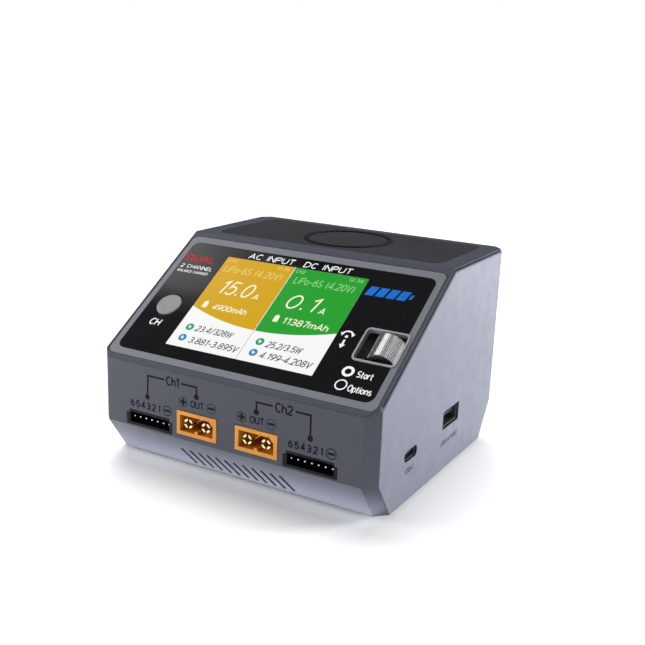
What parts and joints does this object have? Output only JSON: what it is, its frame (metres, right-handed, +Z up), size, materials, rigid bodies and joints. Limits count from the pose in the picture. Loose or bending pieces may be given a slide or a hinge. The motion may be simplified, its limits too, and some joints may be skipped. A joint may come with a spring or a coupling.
{
  "type": "balance battery charger",
  "caption": "Wedge-shaped desktop charger with a sloping colour display, scroll wheel, channel button, front power and balance sockets, side ports, rear fan and flat wireless charging top.",
  "frame": {"origin": "bottom centre of the whole charger, on the surface it stands on", "axes": "+X to the right seen from the front, +Y to the back, +Z up"},
  "size_m": [0.108, 0.1036, 0.0736],
  "materials": {
    "case_plastic": "fine-textured mid grey",
    "cover_plastic": "fine-textured dark grey",
    "front_glass": "glossy black",
    "surround_plastic": "satin light grey",
    "pad_plastic": "soft-touch dark grey",
    "rubber": "matt black",
    "screen": "lit colour display under clear cover",
    "steel": "plain",
    "wheel_metal": "knurled, bright",
    "aluminium": "extruded",
    "contact_gold": "gold plated",
    "copper": "enamelled copper wire",
    "amber_plastic": "amber nylon",
    "black_plastic": "plain black",
    "button_plastic": "satin grey",
    "circuit_board": "green solder mask",
    "ferrite": "dark grey ferrite",
    "capacitor_can": "sleeved can",
    "transformer_tape": "yellow tape"
  },
  "bodies": {
    "case": {"main_shell": "case_plastic", "bottom_cover": "cover_plastic", "rear_panel": "case_plastic", "display_bezel": "case_plastic", "front_glass": "front_glass", "wheel_surround": "surround_plastic", "charging_pad": "pad_plastic", "pad_ring": "rubber", "lcd_panel": "screen", "lcd_frame": "steel", "display_board": "circuit_board", "buzzer": "black_plastic", "channel_switch": "black_plastic", "wheel_switch": "black_plastic", "channel_1_balance_socket": "black_plastic", "channel_2_balance_socket": "black_plastic", "balance_pins": "steel", "channel_1_output_socket": "amber_plastic", "channel_2_output_socket": "amber_plastic", "output_contacts": "contact_gold", "dc_input_socket": "amber_plastic", "dc_input_contacts": "contact_gold", "mains_inlet": "black_plastic", "mains_inlet_pins": "steel", "usb_a_shell": "steel", "usb_a_tongue": "black_plastic", "usb_c_shell": "steel", "usb_c_tongue": "black_plastic", "main_board": "circuit_board", "heat_sink": "aluminium", "power_transistors": "black_plastic", "power_inductors": "ferrite", "output_capacitors": "capacitor_can", "control_chip": "black_plastic", "supply_board": "circuit_board", "supply_transformer": "transformer_tape", "supply_capacitor": "capacitor_can", "supply_choke": "copper", "supply_standoffs": "contact_gold", "fan_frame": "black_plastic", "charging_coil": "copper", "coil_shield": "ferrite", "rubber_feet": "rubber", "base_screws": "steel", "rear_screws": "steel", "fan_screws": "steel", "board_screws": "steel", "display_screws": "steel"},
    "channel_button": {"channel_button": "button_plastic", "channel_switch_stem": "black_plastic"},
    "wheel_cradle": {"wheel_carrier": "black_plastic", "wheel_encoder": "black_plastic", "wheel_switch_stem": "black_plastic"},
    "scroll_wheel": {"scroll_wheel": "wheel_metal", "wheel_axle": "steel"},
    "fan_rotor": {"fan_rotor": "black_plastic"}
  },
  "joints": [
    {"name": "button_press", "type": "slide", "parent": "case", "child": "channel_button", "axis": [0, 0.5519, -0.8339], "range_m": [0, 0.0005], "stiffness_N_per_m": 1500, "springref_m": -0.0004},
    {"name": "wheel_press", "type": "slide", "parent": "case", "child": "wheel_cradle", "axis": [0, 0.5519, -0.8339], "range_m": [0, 0.0005], "stiffness_N_per_m": 2500, "springref_m": -0.0004},
    {"name": "wheel_turn", "type": "hinge", "parent": "wheel_cradle", "child": "scroll_wheel", "pos_m": [0.0446, -0.02725, 0.04961], "axis": [0, 0.8339, 0.5519], "continuous": true},
    {"name": "fan_spin", "type": "hinge", "parent": "case", "child": "fan_rotor", "pos_m": [0.015, 0.0425, 0.042], "axis": [0, 1, 0], "continuous": true}
  ]
}
